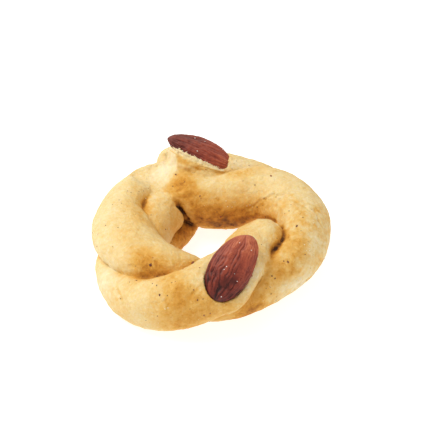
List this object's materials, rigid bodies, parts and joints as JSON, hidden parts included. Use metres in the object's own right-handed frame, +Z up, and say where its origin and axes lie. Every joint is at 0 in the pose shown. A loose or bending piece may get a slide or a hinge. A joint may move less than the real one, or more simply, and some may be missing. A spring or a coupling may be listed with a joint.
{
  "type": "tarallo biscuit",
  "caption": "Ring-shaped savoury biscuit of twisted dough strands with whole almonds pressed into its crust, its ends overlapped and pinched; eaten as a snack.",
  "frame": {"origin": "middle of the footprint, on the plane the biscuit rests on", "axes": "+Z up out of the ring, -Y towards the side with the front almond, +X to its right seen from there"},
  "size_m": [0.0814, 0.0822, 0.0315],
  "materials": {
    "crust": "matt baked crust, golden and toasted brown in the creases",
    "almond_front_skin": "matt wrinkled skin",
    "almond_back_skin": "matt wrinkled skin"
  },
  "bodies": {
    "root": {"dough": "crust", "almond_front": "almond_front_skin", "almond_back": "almond_back_skin"}
  },
  "joints": []
}
